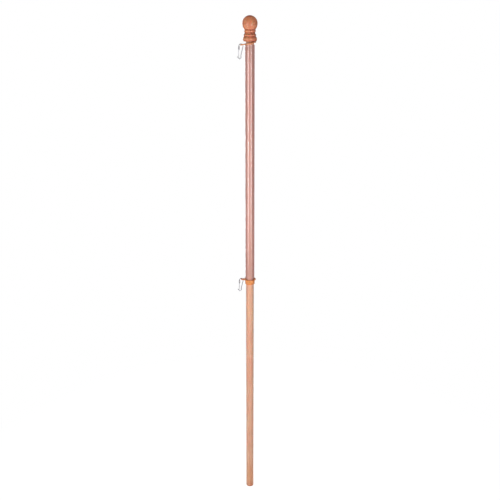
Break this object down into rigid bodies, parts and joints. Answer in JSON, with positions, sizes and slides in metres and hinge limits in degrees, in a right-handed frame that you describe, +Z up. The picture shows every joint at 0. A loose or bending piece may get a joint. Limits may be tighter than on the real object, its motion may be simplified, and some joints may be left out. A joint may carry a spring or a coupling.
{
  "type": "flag pole",
  "caption": "Wooden flag pole with a turned ball finial and a clear tube that turns freely between two tab rings, each with a wire snap clip for the flag, above a stop collar.",
  "frame": {"origin": "middle of the pole's butt end", "axes": "+Z up the pole to the ball, -X to the ring tabs and clips, -Y to the front"},
  "size_m": [0.0627, 0.046, 1.6104],
  "materials": {
    "pole_wood": "clear satin varnish",
    "finial_wood": "clear gloss varnish",
    "honey_plastic": "moulded, glossy",
    "clear_plastic": "clear extruded",
    "clip_wire": "bright zinc",
    "clip_sleeve": "bright zinc",
    "screw_brass": "plain",
    "screw_steel": "plain zinc"
  },
  "bodies": {
    "pole": {"pole": "pole_wood", "finial": "finial_wood", "finial_screw": "screw_steel", "stop_collar": "honey_plastic", "collar_screw": "screw_brass"},
    "lower_ring": {"lower_ring": "honey_plastic"},
    "tube": {"tube": "clear_plastic"},
    "upper_ring": {"upper_ring": "honey_plastic"},
    "lower_clip": {"lower_clip_hook": "clip_wire", "lower_clip_ferrule": "clip_sleeve"},
    "lower_gate": {"lower_clip_gate": "clip_wire"},
    "upper_clip": {"upper_clip_hook": "clip_wire", "upper_clip_ferrule": "clip_sleeve"},
    "upper_gate": {"upper_clip_gate": "clip_wire"}
  },
  "joints": [
    {"name": "lower_ring_spin", "type": "hinge", "parent": "pole", "child": "lower_ring", "pos_m": [0, 0, 0.7773], "axis": [0, 0, 1], "continuous": true},
    {"name": "tube_spin", "type": "hinge", "parent": "pole", "child": "tube", "pos_m": [0, 0, 0.7806], "axis": [0, 0, 1], "continuous": true},
    {"name": "upper_ring_rock", "type": "hinge", "parent": "tube", "child": "upper_ring", "pos_m": [-0.0144, 0, 1.5254], "axis": [0, 1, 0], "range_deg": [0, 11]},
    {"name": "lower_clip_swing", "type": "hinge", "parent": "lower_ring", "child": "lower_clip", "pos_m": [-0.0281, 0, 0.77574], "axis": [0, 1, 0], "range_deg": [-22, 65]},
    {"name": "lower_clip_gate_open", "type": "hinge", "parent": "lower_clip", "child": "lower_gate", "pos_m": [-0.0342, 0, 0.76764], "axis": [0, -1, 0], "range_deg": [0, 12], "stiffness_Nm_per_rad": 0.04, "springref_deg": -17.19},
    {"name": "upper_clip_swing", "type": "hinge", "parent": "upper_ring", "child": "upper_clip", "pos_m": [-0.027, 0, 1.52136], "axis": [0, 1, 0], "range_deg": [-17, 55]},
    {"name": "upper_clip_gate_open", "type": "hinge", "parent": "upper_clip", "child": "upper_gate", "pos_m": [-0.0331, 0, 1.51326], "axis": [0, -1, 0], "range_deg": [0, 12], "stiffness_Nm_per_rad": 0.04, "springref_deg": -17.19}
  ]
}
